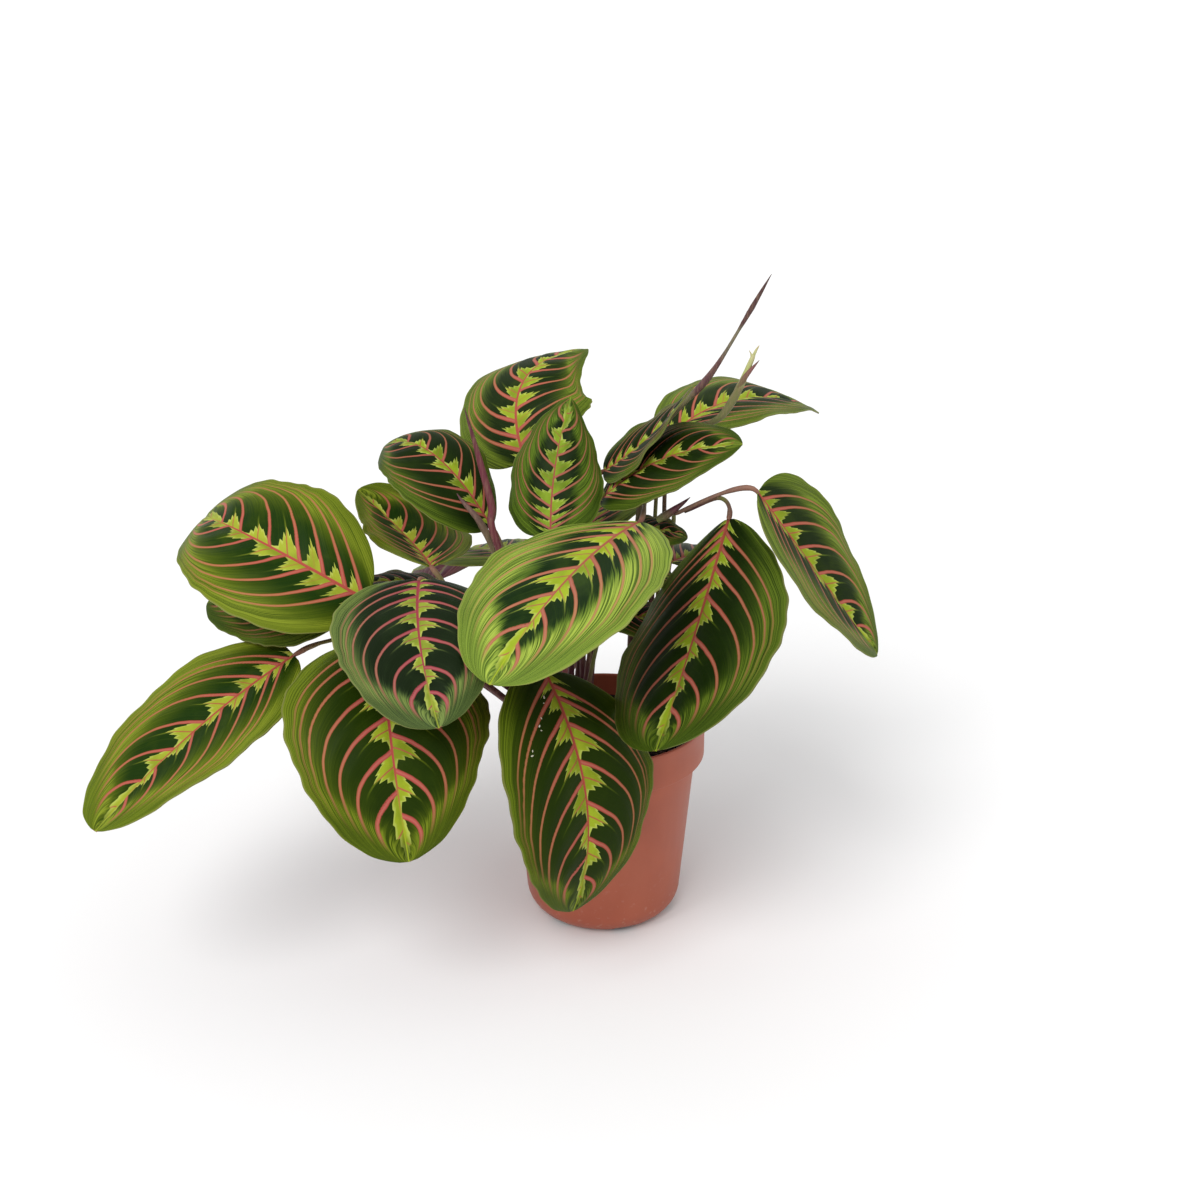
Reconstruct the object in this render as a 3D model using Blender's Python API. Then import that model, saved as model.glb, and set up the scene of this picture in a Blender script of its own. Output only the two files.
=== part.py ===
"""Potted prayer plant: a turned plastic nursery pot, its soil, 24 leaves on their
stalks, three leaves still rolled up and one old flower stalk.

The origin is the centre of the pot's base, +Z is up and -Y is the plant's front.
Leaf sizes and places are in millimetres and degrees, as a grower would note them.
"""
import bpy
import bmesh
from math import cos, pi, radians, sin

import numpy as np

MM = 0.001

# Pot and soil, in millimetres
RIM_RADIUS = 60.0
POT_HEIGHT = 125.0
BAND_HEIGHT = 22.0
WALL_RADIUS_TOP = 54.6
WALL_RADIUS_FOOT = 45.1
CORNER_RADIUS = 15.6
WALL = 1.6
LIP_ROUND = 0.8
POT_SIDES = 40
SOIL_TOP = 112.0
FIT_GAP = 0.4
DRAIN_COUNT = 6
DRAIN_WIDTH = 13.0
DRAIN_TOP = 4.6
DRAIN_DEEP = 14.0
DRAIN_INSET = 5.0
DRAIN_FIRST_TURN = -72.0
BAND_CHAMFER = 0.6

# Leaves, stalks and rolled leaves, in millimetres
BLADE_THICK = 1.2
BLADE_NECK = 1.6
BLADE_STEPS = (10, 6)
BLADE_FULLNESS = 0.62
CURL_STEPS = 12
STALK_FOOT_RADIUS = 1.7
STALK_END_RADIUS = 1.1
STALK_SIDES_RESOLUTION = 1
STALK_STEPS = 10
SIDE_SHOOT_PULL = (20.0, 2.0, 6.0)
JOINT_GAP = 0.6
ROOT_HEIGHT = SOIL_TOP + 0.8

POT_COLOUR = (0.38, 0.105, 0.06)
SOIL_COLOUR = (0.012, 0.009, 0.007)
BLADE_COLOUR = (0.045, 0.13, 0.02)
STALK_COLOUR = (0.16, 0.13, 0.06)
ROLL_COLOUR = (0.14, 0.045, 0.05)
FLOWER_COLOUR = (0.2, 0.22, 0.08)

# One line for each leaf: where its blade meets the stalk, the way the blade points
# (heading from +X, rise above level), its length and width, how far the midrib
# bows up (arch) and sideways (sway), how the blade leans (roll) and is wrung
# (twist), each half's fold up from the midrib and curl down to the edge (left,
# right), where it is widest (below 1 is nearer the stalk), how full its tip is
# (larger is more pointed), and its stalk: the foot in the soil, points on its way,
# and how far it runs straight at each end.
LEAVES = {
    "far_left": dict(
        at=(-130, -42, 216), heading=143, rise=9, length=130, width=90,
        arch=30, sway=-10, roll=-32, twist=0, fold=(12, 12), curl=(25, 25),
        widest=0.7, tip=0.47, foot=(-22, -8), via=[], up=75, back=120),
    "under_left": dict(
        at=(-138, -28, 207), heading=158, rise=-8, length=100, width=74,
        arch=4, sway=4, roll=-22, twist=0, fold=(6, 6), curl=(32, 32),
        widest=0.75, tip=0.47, foot=(-30, 2), via=[], up=55, back=90),
    "low_left": dict(
        at=(-172, -40, 182), heading=-136, rise=-25, length=143, width=90,
        arch=0, sway=8, roll=-3, twist=-5, fold=(15, 15), curl=(19, 19),
        widest=0.75, tip=0.47, foot=(-38, -6), via=[], up=50, back=180),
    "front_left": dict(
        at=(-121, -50, 196), heading=-77, rise=-48, length=124, width=110,
        arch=28, sway=6, roll=-3, twist=0, fold=(8, 8), curl=(25, 25),
        widest=0.76, tip=0.47, foot=(-34, -16), via=[], up=60, back=120),
    "mid_left": dict(
        at=(-101, -38, 226), heading=-80, rise=-20, length=112, width=92,
        arch=8, sway=3, roll=12, twist=-8, fold=(16, 16), curl=(55, 18),
        widest=0.7, tip=0.47, foot=(-28, -26), via=[], up=85, back=45),
    "centre": dict(
        at=(20, -8, 249), heading=-122, rise=-16, length=152, width=106,
        arch=14, sway=-3, roll=2, twist=0, fold=(12, 12), curl=(23, 23),
        widest=1.05, tip=0.47, foot=(20, 42), via=[(24, 41, 240)], up=110, back=24),
    "front": dict(
        at=(-32, -66, 184), heading=-65, rise=-75, length=136, width=104,
        arch=30, sway=4, roll=-14, twist=-15, fold=(8, 14), curl=(25, 25),
        widest=0.68, tip=0.56, foot=(-8, -28), via=[], up=70, back=75),
    "right": dict(
        at=(71, 6, 246), heading=-109, rise=-31, length=158, width=110,
        arch=-5, sway=3, roll=26, twist=6, fold=(6, 6), curl=(28, 28),
        widest=1.0, tip=0.54, foot=(45.6, 8, 250), via=[(66, 10, 257)], up=0, back=20),
    "far_right": dict(
        at=(85, -12, 268), heading=5, rise=-54, length=125, width=88,
        arch=0, sway=0, roll=25, twist=5, fold=(19, 19), curl=(15, 15),
        widest=0.68, tip=0.58, foot=(32, 30), via=[(41, 42, 226), (43, 6, 250)], up=110, back=30),
    "upright": dict(
        at=(-30, 0, 239), heading=72, rise=62, length=79, width=60,
        arch=-5, sway=-4, roll=8, twist=-10, fold=(0, 0), curl=(43, 43),
        widest=0.65, tip=0.75, foot=(-24, 0), via=[], up=70, back=60),
    "top": dict(
        at=(-46, 46, 268), heading=62, rise=32, length=92, width=92,
        arch=20, sway=-13, roll=-14, twist=5, fold=(6, -3), curl=(22, 45),
        widest=0.65, tip=0.66, foot=(-28, 34), via=[], up=110, back=90),
    "upper_left": dict(
        at=(-63, -4, 245), heading=141, rise=21, length=88, width=64,
        arch=26, sway=-4, roll=-15, twist=20, fold=(4, 4), curl=(38, 38),
        widest=0.75, tip=0.47, foot=(-28, 8), via=[], up=90, back=90),
    "half_hidden": dict(
        at=(-97, -10, 223), heading=130, rise=20, length=78, width=70,
        arch=-8, sway=12, roll=9, twist=-6, fold=(20, 20), curl=(12, 12),
        widest=0.85, tip=0.47, foot=(-40, 10), via=[], up=70, back=36),
    "top_right": dict(
        at=(35, 58, 275), heading=29, rise=1, length=112, width=78,
        arch=16, sway=-6, roll=3, twist=0, fold=(13, 13), curl=(22, 22),
        widest=0.87, tip=0.75, foot=(28, 44), via=[], up=110, back=18),
    "folded": dict(
        at=(0, 41, 263), heading=-24, rise=46, length=79, width=46,
        arch=-4, sway=0, roll=20, twist=26, fold=(13, 13), curl=(23, 23),
        widest=0.65, tip=0.62, foot=(-20, 38), via=[], up=100, back=60),
    "side_right": dict(
        at=(-2, 26, 250), heading=-20, rise=27, length=94, width=62,
        arch=8, sway=-4, roll=26, twist=0, fold=(8, 8), curl=(25, 25),
        widest=0.84, tip=0.6, foot=(-12, 26), via=[], up=100, back=60),
    "inner_high": dict(
        at=(7, 24, 227), heading=-8, rise=4, length=42, width=36,
        arch=6, sway=0, roll=10, twist=0, fold=(8, 8), curl=(25, 25),
        widest=0.85, tip=0.47, foot=(-9, 20), via=[], up=90, back=18),
    "inner_middle": dict(
        at=(2, 21, 204), heading=-6, rise=0, length=39, width=40,
        arch=6, sway=0, roll=8, twist=0, fold=(8, 8), curl=(25, 25),
        widest=0.85, tip=0.47, foot=(-12, 12), via=[], up=70, back=18),
    "inner_low": dict(
        at=(3, 14, 180), heading=-10, rise=-4, length=54, width=44,
        arch=6, sway=0, roll=5, twist=0, fold=(8, 8), curl=(25, 25),
        widest=0.85, tip=0.47, foot=(-12, 2), via=[], up=50, back=18),
    "tucked_left": dict(
        at=(-88, 8, 200), heading=176, rise=2, length=62, width=40,
        arch=5, sway=0, roll=0, twist=0, fold=(8, 8), curl=(25, 25),
        widest=0.85, tip=0.47, foot=(-38, 16), via=[], up=60, back=120),
    "back_right": dict(
        at=(40, 56, 200), heading=45, rise=-28, length=106, width=76,
        arch=16, sway=0, roll=0, twist=0, fold=(8, 8), curl=(25, 25),
        widest=0.85, tip=0.47, foot=(37, 40), via=[], up=60, back=60),
    "back_left": dict(
        at=(-48, 44, 206), heading=128, rise=-24, length=108, width=76,
        arch=14, sway=0, roll=0, twist=0, fold=(8, 8), curl=(25, 25),
        widest=0.85, tip=0.47, foot=(-38, 26), via=[], up=70, back=60),
    "back_middle": dict(
        at=(-6, 52, 222), heading=92, rise=-14, length=104, width=70,
        arch=16, sway=0, roll=0, twist=0, fold=(8, 8), curl=(25, 25),
        widest=0.85, tip=0.47, foot=(-16, 52), via=[], up=90, back=24),
    "back_low": dict(
        at=(-22, 64, 172), heading=105, rise=-56, length=104, width=74,
        arch=22, sway=0, roll=0, twist=0, fold=(8, 8), curl=(25, 25),
        widest=0.85, tip=0.47, foot=(-20, 46), via=[], up=50, back=60),
}

# Leaves still rolled up, and the old flower stalk: route, thickness on the way up
ROLLED = {
    "rolled_leaf_tall": dict(
        route=[(16, 50, ROOT_HEIGHT), (24, 53, 262), (37, 51, 290), (62, 41, 322), (93, 36, 379)],
        radii=(1.8, 1.6, 1.6, 2.0, 0.5), up=120),
    "rolled_leaf_short": dict(
        route=[(-30, -4, ROOT_HEIGHT), (-60, -17, 233), (-81, -14, 268)],
        radii=(1.6, 2.0, 0.5), up=90),
    "rolled_leaf_left": dict(
        route=[(-16, -14, ROOT_HEIGHT), (-58, -22, 238), (-62, -20, 266), (-75, -18, 318)],
        radii=(1.8, 1.9, 2.4, 0.5), up=90),
    "old_flower_stalk": dict(
        route=[(42, 24, ROOT_HEIGHT), (37, 43, 262), (69, 34, 300), (85, 32, 338)],
        radii=(1.5, 1.4, 1.3, 0.9), up=120),
}


def principled(name, colour, roughness, metallic=0.0):
    mat = bpy.data.materials.new(name)
    mat.use_nodes = True
    shader = mat.node_tree.nodes["Principled BSDF"]
    shader.inputs["Base Color"].default_value = (*colour, 1.0)
    shader.inputs["Roughness"].default_value = roughness
    shader.inputs["Metallic"].default_value = metallic
    mat.diffuse_color = (*colour, 1.0)
    return mat


def add_object(name, bm, mat):
    mesh = bpy.data.meshes.new(name)
    bm.to_mesh(mesh)
    bm.free()
    mesh.materials.append(mat)
    obj = bpy.data.objects.new(name, mesh)
    bpy.context.scene.collection.objects.link(obj)
    return obj


def arc(centre, radius, start, end, steps):
    angles = np.radians(np.linspace(start, end, steps + 1))
    return [(centre[0] + radius * cos(a), centre[1] + radius * sin(a)) for a in angles]


def turned(name, profile, mat):
    """A solid of revolution about Z from (radius, height) points in millimetres."""
    bm = bmesh.new()
    verts = [bm.verts.new((r * MM, 0, z * MM)) for r, z in profile]
    edges = [bm.edges.new(pair) for pair in zip(verts, verts[1:])]
    bmesh.ops.spin(bm, geom=verts + edges, axis=(0, 0, 1), cent=(0, 0, 0),
                   steps=POT_SIDES, angle=2 * pi, use_merge=True, use_duplicate=False)
    bmesh.ops.remove_doubles(bm, verts=bm.verts, dist=0.00001)
    bmesh.ops.recalc_face_normals(bm, faces=bm.faces)
    obj = add_object(name, bm, mat)
    obj.data.shade_smooth()
    obj.data.set_sharp_from_angle(angle=radians(35))
    return obj


def wall_radius(z):
    """Radius of the tapered wall's outside at height z."""
    share = z / (POT_HEIGHT - BAND_HEIGHT)
    return WALL_RADIUS_FOOT + (WALL_RADIUS_TOP - WALL_RADIUS_FOOT) * share


def bowl_line(inset, steps):
    """Base, round corner and wall up to the band, moved inwards by inset."""
    band_foot = POT_HEIGHT - BAND_HEIGHT
    corner_at = wall_radius(CORNER_RADIUS) - CORNER_RADIUS
    corner = arc((corner_at, CORNER_RADIUS), CORNER_RADIUS - inset, -90, 0, steps)
    return [(0, inset)] + corner + [(WALL_RADIUS_TOP - inset, band_foot + inset)]


def build_pot():
    band_foot = POT_HEIGHT - BAND_HEIGHT
    inner_rim = RIM_RADIUS - WALL
    outside = bowl_line(0, 6) + [(RIM_RADIUS - BAND_CHAMFER, band_foot)]
    outside += [(RIM_RADIUS, band_foot + BAND_CHAMFER)]
    lip = arc((RIM_RADIUS - LIP_ROUND, POT_HEIGHT - LIP_ROUND), LIP_ROUND, 0, 180, 4)
    inside = [(inner_rim, band_foot + WALL)] + bowl_line(WALL, 6)[::-1]
    pot = turned("pot", outside + lip + inside, principled("pot plastic", POT_COLOUR, 0.45))
    for k in range(DRAIN_COUNT):
        turn = radians(DRAIN_FIRST_TURN + k * 360 / DRAIN_COUNT)
        bpy.ops.mesh.primitive_cube_add(size=1)
        cutter = bpy.context.object
        cutter.name = f"drain_cutter_{k + 1}"
        reach = wall_radius(0) - DRAIN_INSET
        cutter.location = (reach * cos(turn) * MM, reach * sin(turn) * MM, (DRAIN_TOP / 2 - 1) * MM)
        cutter.rotation_euler = (0, 0, turn)
        cutter.scale = (DRAIN_DEEP * MM, DRAIN_WIDTH * MM, (DRAIN_TOP + 2) * MM)
        cutter.hide_render = True
        cutter.display_type = "WIRE"
        cut = pot.modifiers.new(cutter.name, "BOOLEAN")
        cut.operation = "DIFFERENCE"
        cut.solver = "EXACT"
        cut.object = cutter


def build_soil():
    inset = WALL + FIT_GAP
    band_foot = POT_HEIGHT - BAND_HEIGHT
    edge = RIM_RADIUS - inset
    top = [(edge, band_foot + inset), (edge, SOIL_TOP), (0, SOIL_TOP)]
    profile = bowl_line(inset, 4) + top
    turned("soil", profile, principled("soil", SOIL_COLOUR, 0.95))


def leaf_axes(leaf):
    """Unit vectors along the blade, to its right and out of its upper face."""
    heading, rise, roll = (radians(leaf[key]) for key in ("heading", "rise", "roll"))
    along = np.array([cos(heading) * cos(rise), sin(heading) * cos(rise), sin(rise)])
    right = np.array([sin(heading), -cos(heading), 0.0])
    up = np.cross(right, along)
    up = up * cos(roll) + right * sin(roll)
    return along, np.cross(along, up), up


def midrib(leaf, share):
    """Point on the midrib and the blade's own axes there; share runs 0 to 1."""
    along, right, up = leaf_axes(leaf)
    bow = 4 * share * (1 - share)
    point = np.array(leaf["at"], float) + share * leaf["length"] * along
    point = point + bow * (leaf["arch"] * up + leaf["sway"] * right)
    slope = 4 * (1 - 2 * share)
    forward = leaf["length"] * along + slope * (leaf["arch"] * up + leaf["sway"] * right)
    forward /= np.linalg.norm(forward)
    side = right - (forward @ right) * forward
    side /= np.linalg.norm(side)
    face = np.cross(side, forward)
    wring = radians(leaf["twist"]) * (share - 0.5)
    side = side * cos(wring) + face * sin(wring)
    return point, forward, side, np.cross(side, forward)


def blade_point(leaf, share, across):
    """Point of the blade; across runs from -1 (left edge) to 1 (right edge)."""
    point, forward, side, face = midrib(leaf, share)
    towards_tip = min(max(2 * share - 0.7, 0), 1)
    fullness = BLADE_FULLNESS + (leaf["tip"] - BLADE_FULLNESS) * towards_tip
    half = leaf["width"] / 2 * sin(pi * share ** leaf["widest"]) ** fullness if 0 < share < 1 else 0
    half = max(half, BLADE_NECK)
    hand = 1 if across > 0 else 0
    fold, curl = leaf["fold"][hand], leaf["curl"][hand]
    parts = (np.arange(CURL_STEPS) + 0.5) / CURL_STEPS * abs(across)
    angles = np.radians(fold - curl * parts)
    out = np.cos(angles).mean() * across
    lift = np.sin(angles).mean() * abs(across)
    return point + half * (out * side + lift * face)


def build_blade(name, leaf, mat):
    bm = bmesh.new()
    steps_along, steps_across = BLADE_STEPS
    bmesh.ops.create_grid(bm, x_segments=steps_along, y_segments=steps_across, size=1)
    for vert in bm.verts:
        share = (1 - cos(pi * (vert.co.x + 1) / 2)) / 2
        vert.co = blade_point(leaf, share, -vert.co.y) * MM
    blade = add_object("blade_" + name, bm, mat)
    blade.data.shade_smooth()
    solid = blade.modifiers.new("thickness", "SOLIDIFY")
    solid.thickness = BLADE_THICK * MM
    solid.offset = 0
    solid.use_even_offset = False


def smooth_route(points, start_pull, end_pull, steps):
    """Points on a smooth curve through the given ones, with a pull at each end."""
    points = [np.array(p, float) for p in points]
    pulls = [np.array(start_pull, float)]
    pulls += [(after - before) / 2 for before, after in zip(points, points[2:])]
    pulls.append(np.array(end_pull, float))
    route = []
    for k in range(len(points) - 1):
        for u in np.linspace(0, 1, steps, endpoint=False):
            keep = 2 * u**3 - 3 * u**2 + 1
            route.append(keep * points[k] + (u**3 - 2 * u**2 + u) * pulls[k]
                         + (1 - keep) * points[k + 1] + (u**3 - u**2) * pulls[k + 1])
    return route + [points[-1]]


def build_tube(name, route, radii, mat):
    curve = bpy.data.curves.new(name, "CURVE")
    curve.dimensions = "3D"
    curve.bevel_depth = MM
    curve.bevel_resolution = STALK_SIDES_RESOLUTION
    curve.use_fill_caps = True
    spline = curve.splines.new("POLY")
    spline.points.add(len(route) - 1)
    thickness = np.interp(np.linspace(0, 1, len(route)), np.linspace(0, 1, len(radii)), radii)
    for point, place, radius in zip(spline.points, route, thickness):
        point.co = (*(place * MM), 1)
        point.radius = radius
    curve.materials.append(mat)
    obj = bpy.data.objects.new(name, curve)
    bpy.context.scene.collection.objects.link(obj)


def build_stalk(name, leaf, mat):
    neck, forward, _, _ = midrib(leaf, 0)
    foot = leaf["foot"] if len(leaf["foot"]) == 3 else (*leaf["foot"], ROOT_HEIGHT)
    points = [foot, *leaf["via"], neck - JOINT_GAP * forward]
    start_pull = (0, 0, leaf["up"]) if leaf["up"] else SIDE_SHOOT_PULL
    steps = max(4, STALK_STEPS // (len(points) - 1))
    route = smooth_route(points, start_pull, forward * leaf["back"], steps)
    build_tube("stalk_" + name, route, (STALK_FOOT_RADIUS, STALK_END_RADIUS), mat)


for old in list(bpy.data.objects):
    bpy.data.objects.remove(old)

build_pot()
build_soil()
for leaf_name, leaf_row in LEAVES.items():
    build_blade(leaf_name, leaf_row, principled("blade " + leaf_name, BLADE_COLOUR, 0.5))
    build_stalk(leaf_name, leaf_row, principled("stalk " + leaf_name, STALK_COLOUR, 0.5))
for rolled_name, rolled in ROLLED.items():
    tone = FLOWER_COLOUR if rolled_name == "old_flower_stalk" else ROLL_COLOUR
    last = np.subtract(rolled["route"][-1], rolled["route"][-2])
    path = smooth_route(rolled["route"], (0, 0, rolled["up"]), last, 5)
    build_tube(rolled_name, path, rolled["radii"], principled(rolled_name, tone, 0.5))
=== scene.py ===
"""Potted prayer plant: a terracotta-coloured plastic pot, its soil, 24 painted leaves
on sheathed stalks, three leaves still rolled up and one old flower stalk."""
from math import cos, pi, radians, sin

import bpy
import numpy as np
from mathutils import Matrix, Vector, noise


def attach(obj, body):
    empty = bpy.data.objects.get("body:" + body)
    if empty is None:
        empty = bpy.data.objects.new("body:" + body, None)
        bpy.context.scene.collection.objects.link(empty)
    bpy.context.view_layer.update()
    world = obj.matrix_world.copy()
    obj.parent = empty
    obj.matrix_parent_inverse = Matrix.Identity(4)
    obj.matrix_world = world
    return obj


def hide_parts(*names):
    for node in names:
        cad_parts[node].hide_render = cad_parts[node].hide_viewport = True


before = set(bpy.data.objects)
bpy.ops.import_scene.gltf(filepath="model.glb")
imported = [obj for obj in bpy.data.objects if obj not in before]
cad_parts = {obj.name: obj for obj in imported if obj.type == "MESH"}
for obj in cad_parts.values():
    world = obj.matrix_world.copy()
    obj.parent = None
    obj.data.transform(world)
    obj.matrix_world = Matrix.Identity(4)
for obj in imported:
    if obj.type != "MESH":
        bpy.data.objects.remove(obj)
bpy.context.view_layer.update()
for shown in list(bpy.context.selected_objects):
    shown.select_set(False)
MM = 0.001

# Studio: a wide pale floor, a white room all round and one broad soft lamp high on the
# left, with the camera at a table's distance looking a little down on the leaves.
bpy.ops.object.camera_add(location=(-0.002, -0.9245, 0.5797), rotation=(radians(67.6), 0, 0))
camera = bpy.context.object
camera.data.sensor_width = 36
camera.data.lens = 52.26
camera.data.clip_end = 100
bpy.context.scene.camera = camera

bpy.ops.mesh.primitive_plane_add(size=60, location=(0, 0, 0))
floor = bpy.context.object
floor.name = "studio_floor"
floor_paint = bpy.data.materials.new("pale floor paint")
floor_paint.use_nodes = True
floor_paint.node_tree.nodes["Principled BSDF"].inputs["Base Color"].default_value = (0.9, 0.9, 0.9, 1)
floor_paint.node_tree.nodes["Principled BSDF"].inputs["Roughness"].default_value = 0.9
floor_paint.node_tree.nodes["Principled BSDF"].inputs["Specular IOR Level"].default_value = 0.1
floor.data.materials.append(floor_paint)

room = bpy.data.worlds.new("white room")
bpy.context.scene.world = room
room.use_nodes = True
room.node_tree.nodes["Background"].inputs["Color"].default_value = (1, 1, 1, 1)
room.node_tree.nodes["Background"].inputs["Strength"].default_value = 0.78
bpy.ops.object.light_add(type="SUN", rotation=(radians(38), radians(-24), 0))
bpy.context.object.data.energy = 1.9
bpy.context.object.data.angle = radians(35)
bpy.context.scene.view_settings.view_transform = "Standard"

# Pot: a thin injection-moulded nursery pot with a broad band under its lip, a tapered
# wall, a large round corner at the foot and six drain slots cut into that corner.
RIM_RADIUS = 60.0
POT_HEIGHT = 125.0
BAND_HEIGHT = 22.0
WALL_RADIUS_TOP = 54.6
WALL_RADIUS_FOOT = 45.1
CORNER_RADIUS = 15.6
WALL = 1.6
DRAIN_SLOTS = 6
FIRST_SLOT_TURN = -72
SLOT_RADIUS, SLOT_HEIGHT = 40.1, 1.3
SLOT_SIZE = (14 * MM, 13 * MM, 6.6 * MM)
SLOT_ROUNDING = 1.2


def laid_grid(name, spots):
    """A grid of faces whose corners take the places in spots: rows, columns, xyz in mm."""
    rows, columns = spots.shape[:2]
    bpy.ops.object.select_all(action="DESELECT")
    bpy.ops.mesh.primitive_grid_add(x_subdivisions=rows - 1, y_subdivisions=columns - 1, size=2)
    piece = bpy.context.object
    piece.name = piece.data.name = name
    flat = np.zeros(len(piece.data.vertices) * 3)
    piece.data.vertices.foreach_get("co", flat)
    flat = flat.reshape(-1, 3)
    row = np.rint((flat[:, 0] + 1) / 2 * (rows - 1)).astype(int)
    column = np.rint((flat[:, 1] + 1) / 2 * (columns - 1)).astype(int)
    piece.data.vertices.foreach_set("co", (spots[row, column] * MM).ravel())
    return piece, row, column


def close_up(piece, outwards=True):
    """Joins the edges that meet and turns the faces outwards."""
    bpy.ops.object.mode_set(mode="EDIT")
    bpy.ops.mesh.select_all(action="SELECT")
    bpy.ops.mesh.remove_doubles(threshold=0.002 * MM)
    if outwards:
        bpy.ops.mesh.normals_make_consistent(inside=False)
    bpy.ops.object.mode_set(mode="OBJECT")


def wall_radius(z):
    share = z / (POT_HEIGHT - BAND_HEIGHT)
    return WALL_RADIUS_FOOT + (WALL_RADIUS_TOP - WALL_RADIUS_FOOT) * share


def arc(centre, radius, start, end, steps):
    turns = np.radians(np.linspace(start, end, steps + 1))
    return [(centre[0] + radius * cos(a), centre[1] + radius * sin(a)) for a in turns]


def bowl_line(inset):
    """Base with its raised middle, round corner and wall up to the band."""
    corner_at = wall_radius(CORNER_RADIUS) - CORNER_RADIUS
    corner = arc((corner_at, CORNER_RADIUS), CORNER_RADIUS - inset, -90, 0, 12)
    middle = [(0, inset + 1.2), (12, inset + 1.2), (22, inset + 1.0), (24.5, inset + 0.1)]
    wall = [(wall_radius(z) - inset, z) for z in np.linspace(CORNER_RADIUS + 4, 99, 12)]
    return middle + corner + wall


def turned(name, profile, sides):
    turns = np.linspace(0, 2 * pi, sides + 1)
    profile = np.array(profile, float)
    spots = np.stack([profile[:, :1] * np.cos(turns), profile[:, :1] * np.sin(turns),
                      np.repeat(profile[:, 1:], sides + 1, axis=1)], axis=2)
    piece, _, _ = laid_grid(name, spots)
    close_up(piece)
    return piece


def calc_for(tree):
    """Returns short ways to add a sum, a colour blend and a texture to a node tree."""
    def wire(socket, value):
        if isinstance(value, bpy.types.NodeSocket):
            tree.links.new(value, socket)
        else:
            socket.default_value = value

    def calc(kind, *values, clamp=False):
        node = tree.nodes.new("ShaderNodeMath")
        node.operation = kind
        node.use_clamp = clamp
        for socket, value in zip(node.inputs, values):
            wire(socket, value)
        return node.outputs[0]

    def ease(value, low, high, to_low=0.0, to_high=1.0):
        node = tree.nodes.new("ShaderNodeMapRange")
        node.interpolation_type = "SMOOTHSTEP"
        for key, number in (("Value", value), ("From Min", low), ("From Max", high),
                            ("To Min", to_low), ("To Max", to_high)):
            wire(node.inputs[key], number)
        return node.outputs[0]

    def tint(share, first, second):
        node = tree.nodes.new("ShaderNodeMix")
        node.data_type = "RGBA"
        wire(node.inputs[0], share)
        for socket, value in ((node.inputs[6], first), (node.inputs[7], second)):
            wire(socket, (*value, 1) if isinstance(value, tuple) and len(value) == 3 else value)
        return node.outputs[2]

    def grain(place, scale, detail=2.0, stretch=(1, 1, 1)):
        turned_place = tree.nodes.new("ShaderNodeMapping")
        turned_place.inputs["Scale"].default_value = stretch
        tree.links.new(place, turned_place.inputs["Vector"])
        node = tree.nodes.new("ShaderNodeTexNoise")
        node.inputs["Scale"].default_value = scale
        node.inputs["Detail"].default_value = detail
        tree.links.new(turned_place.outputs[0], node.inputs["Vector"])
        return node.outputs[0]
    return calc, ease, tint, grain


def ramp_of(tree, factor, stops):
    """A colour ramp with the given (place, colour) stops; a plain number means grey."""
    ramp = tree.nodes.new("ShaderNodeValToRGB")
    marks = ramp.color_ramp.elements
    for k, (stop, colour) in enumerate(stops):
        mark = marks[0] if k == 0 else marks[-1] if k == len(stops) - 1 else marks.new(stop)
        mark.position = stop
        mark.color = (*colour, 1) if isinstance(colour, tuple) else (colour, colour, colour, 1)
    tree.links.new(factor, ramp.inputs[0])
    return ramp.outputs[0]


def new_finish(name, roughness, specular=0.5, sheen=0.0, sheen_roughness=0.5, coat=0.0):
    material = bpy.data.materials.new(name)
    material.use_nodes = True
    shader = material.node_tree.nodes["Principled BSDF"]
    shader.inputs["Roughness"].default_value = roughness
    shader.inputs["Specular IOR Level"].default_value = specular
    shader.inputs["Sheen Weight"].default_value = sheen
    shader.inputs["Sheen Roughness"].default_value = sheen_roughness
    shader.inputs["Coat Weight"].default_value = coat
    place = material.node_tree.nodes.new("ShaderNodeTexCoord").outputs["Object"]
    return material, shader, place


def raise_grain(material, shader, height, distance, strength):
    bump = material.node_tree.nodes.new("ShaderNodeBump")
    bump.inputs["Distance"].default_value = distance
    bump.inputs["Strength"].default_value = strength
    material.node_tree.links.new(height, bump.inputs["Height"])
    material.node_tree.links.new(bump.outputs[0], shader.inputs["Normal"])


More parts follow.
